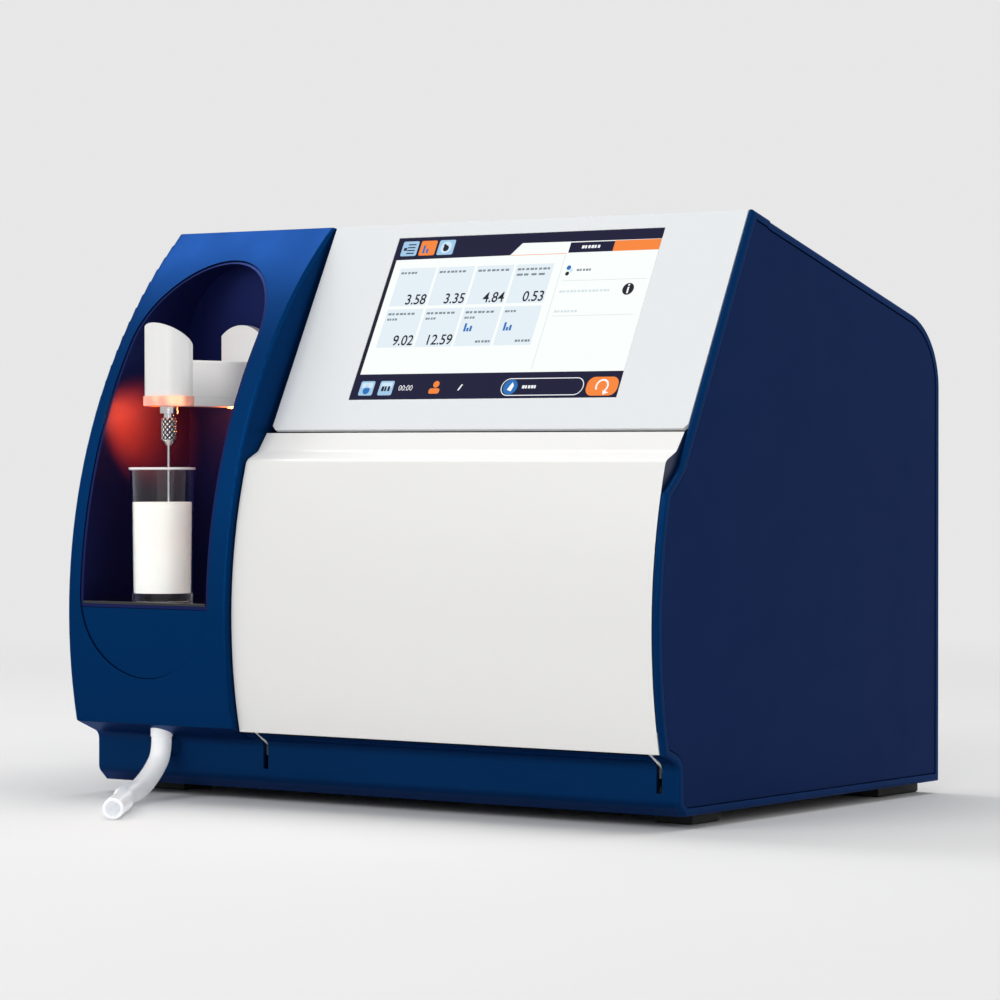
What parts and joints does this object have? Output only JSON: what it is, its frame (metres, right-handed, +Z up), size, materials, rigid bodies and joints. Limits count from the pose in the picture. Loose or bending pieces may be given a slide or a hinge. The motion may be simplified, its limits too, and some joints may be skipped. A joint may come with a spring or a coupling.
{
  "type": "milk analyzer",
  "caption": "Bench milk analyzer with a leaning touch display, a drop-down service door and a bowed bay where a lift-mounted pipette dips into a sample cup.",
  "frame": {"origin": "on the bench, under the middle of the instrument without its drain hose", "axes": "+X to the right seen from the front, +Y to the back, +Z up; the display and the door face -Y"},
  "size_m": [0.46, 0.462, 0.374],
  "materials": {
    "housing_plastic": "fine texture",
    "side_sheet": "satin",
    "niche_plastic": "satin",
    "shelf_plastic": "polished",
    "white_plastic": "smooth",
    "grey_plastic": "satin",
    "screen_glass": "polished",
    "display_module": "lit",
    "head_plastic": "satin",
    "ring_light": "lit",
    "lens": "lit",
    "steel": "bright",
    "aluminium": "satin",
    "clear_cup": "clear",
    "milk": "liquid",
    "clear_hose": "translucent",
    "black_plastic": "satin",
    "feet_rubber": "matt",
    "sheet_metal": "satin",
    "bottle_plastic": "translucent",
    "machine_black": "satin",
    "board": "lacquered"
  },
  "bodies": {
    "housing": {"left_side_frame": "housing_plastic", "left_side_panel": "side_sheet", "right_side_frame": "housing_plastic", "right_side_panel": "side_sheet", "bow_fascia": "housing_plastic", "niche_liner": "niche_plastic", "niche_cover": "housing_plastic", "cup_shelf": "shelf_plastic", "plinth": "housing_plastic", "header_strip": "housing_plastic", "top_cover": "housing_plastic", "rear_panel": "sheet_metal", "base_plate": "sheet_metal", "front_left_foot": "feet_rubber", "front_right_foot": "feet_rubber", "rear_left_foot": "feet_rubber", "rear_right_foot": "feet_rubber", "display_panel": "white_plastic", "touch_glass": "screen_glass", "lcd_module": "display_module", "display_frame": "grey_plastic", "bay_liner": "grey_plastic", "left_bottle": "bottle_plastic", "left_cap": "black_plastic", "right_bottle": "bottle_plastic", "right_cap": "black_plastic", "pump_body": "machine_black", "optics_housing": "aluminium", "main_board": "board", "power_supply": "sheet_metal", "fan_frame": "black_plastic", "power_inlet": "black_plastic", "left_guide_rod": "steel", "right_guide_rod": "steel", "lower_bearing_block": "aluminium", "upper_bearing_block": "aluminium", "lift_motor": "machine_black", "left_hinge_bracket": "sheet_metal", "right_hinge_bracket": "sheet_metal", "drain_spigot": "black_plastic", "drain_hose": "clear_hose"},
    "door": {"door_panel": "white_plastic", "door_liner": "grey_plastic"},
    "pipette_head": {"lift_carriage": "aluminium", "rear_shield": "head_plastic", "pipette_column": "head_plastic", "light_ring": "ring_light", "arm_shell": "head_plastic", "arm_cover": "head_plastic", "status_lens": "lens", "needle_collar": "steel", "knurled_nut": "steel", "needle": "steel"},
    "screw": {"lift_screw": "steel"},
    "cup": {"sample_cup": "clear_cup", "milk_sample": "milk"},
    "rocker": {"switch_rocker": "black_plastic"},
    "pump_wheel": {"pump_rotor": "black_plastic"},
    "fan_wheel": {"fan_rotor": "black_plastic"}
  },
  "joints": [
    {"name": "front_door", "type": "hinge", "parent": "housing", "child": "door", "pos_m": [0, -0.134, 0.0354], "axis": [1, 0, 0], "range_deg": [0, 75]},
    {"name": "pipette_lift", "type": "slide", "parent": "housing", "child": "pipette_head", "axis": [0, 0, 1], "range_m": [0, 0.035]},
    {"name": "lift_screw_turn", "type": "hinge", "parent": "housing", "child": "screw", "pos_m": [-0.165, -0.038, 0.2263], "axis": [0, 0, 1], "range_deg": [0, 1261]},
    {"name": "cup_lift", "type": "slide", "parent": "housing", "child": "cup", "axis": [0, 0, 1], "range_m": [0, 0.035]},
    {"name": "power_switch", "type": "hinge", "parent": "housing", "child": "rocker", "pos_m": [-0.147, 0.164, 0.047], "axis": [1, 0, 0], "range_deg": [-8, 8]},
    {"name": "pump_turn", "type": "hinge", "parent": "housing", "child": "pump_wheel", "pos_m": [0.15, -0.058, 0.14], "axis": [0, 1, 0], "continuous": true},
    {"name": "fan_turn", "type": "hinge", "parent": "housing", "child": "fan_wheel", "pos_m": [0.12, 0.157, 0.185], "axis": [0, 1, 0], "continuous": true}
  ],
  "couplings": [
    {"joint": "lift_screw_turn", "follows": "pipette_lift", "rad_per_m": 628.32}
  ]
}
